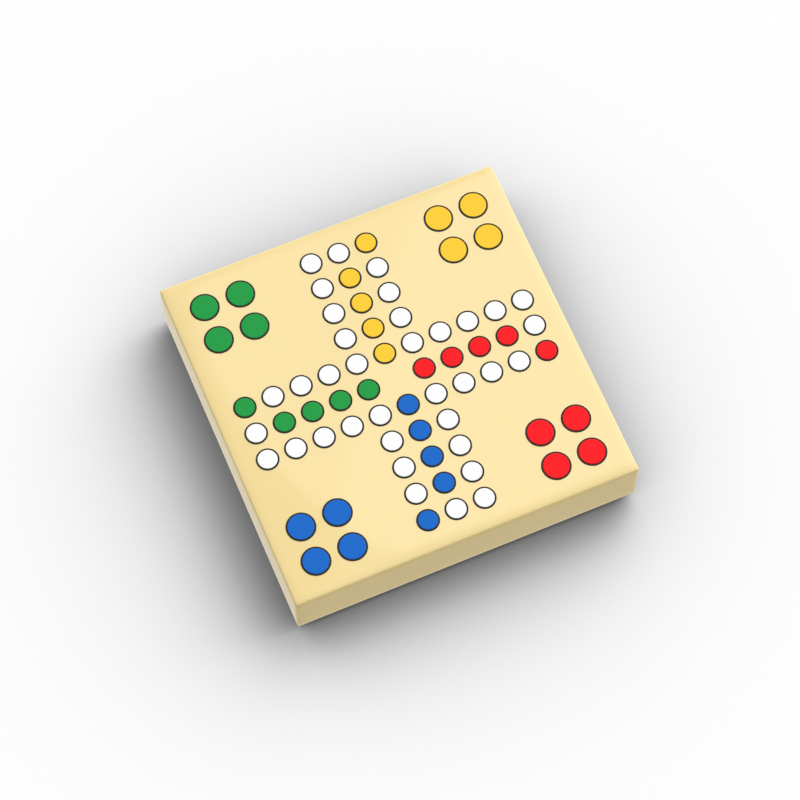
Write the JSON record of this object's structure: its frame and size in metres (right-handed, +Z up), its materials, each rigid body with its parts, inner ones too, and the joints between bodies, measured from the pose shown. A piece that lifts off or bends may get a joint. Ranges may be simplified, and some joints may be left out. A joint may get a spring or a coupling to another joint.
{
  "type": "ludo board tile",
  "caption": "Square toy-brick tile with a ludo board printed on its flat top, hollow underneath with a tube that grips the studs it is pressed on to.",
  "frame": {"origin": "middle of the rim that the tile stands on", "axes": "+Z up out of the printed face, +X along the front edge (the blue and red corners), +Y towards the back edge (the green and yellow corners)"},
  "size_m": [0.0158, 0.0158, 0.0032],
  "materials": {
    "tan_plastic": "polished moulded ABS",
    "green_ink": "satin printed ink",
    "yellow_ink": "satin printed ink",
    "red_ink": "satin printed ink",
    "blue_ink": "satin printed ink",
    "white_ink": "satin printed ink",
    "outline_ink": "satin printed ink"
  },
  "bodies": {
    "root": {"tile_body": "tan_plastic", "green_home_spots": "green_ink", "green_home_outlines": "outline_ink", "green_start_spots": "green_ink", "green_start_outlines": "outline_ink", "green_goal_spots": "green_ink", "green_goal_outlines": "outline_ink", "white_path_after_green_spots": "white_ink", "white_path_after_green_outlines": "outline_ink", "yellow_home_spots": "yellow_ink", "yellow_home_outlines": "outline_ink", "yellow_start_spots": "yellow_ink", "yellow_start_outlines": "outline_ink", "yellow_goal_spots": "yellow_ink", "yellow_goal_outlines": "outline_ink", "white_path_after_yellow_spots": "white_ink", "white_path_after_yellow_outlines": "outline_ink", "red_home_spots": "red_ink", "red_home_outlines": "outline_ink", "red_start_spots": "red_ink", "red_start_outlines": "outline_ink", "red_goal_spots": "red_ink", "red_goal_outlines": "outline_ink", "white_path_after_red_spots": "white_ink", "white_path_after_red_outlines": "outline_ink", "blue_home_spots": "blue_ink", "blue_home_outlines": "outline_ink", "blue_start_spots": "blue_ink", "blue_start_outlines": "outline_ink", "blue_goal_spots": "blue_ink", "blue_goal_outlines": "outline_ink", "white_path_after_blue_spots": "white_ink", "white_path_after_blue_outlines": "outline_ink"}
  },
  "joints": []
}
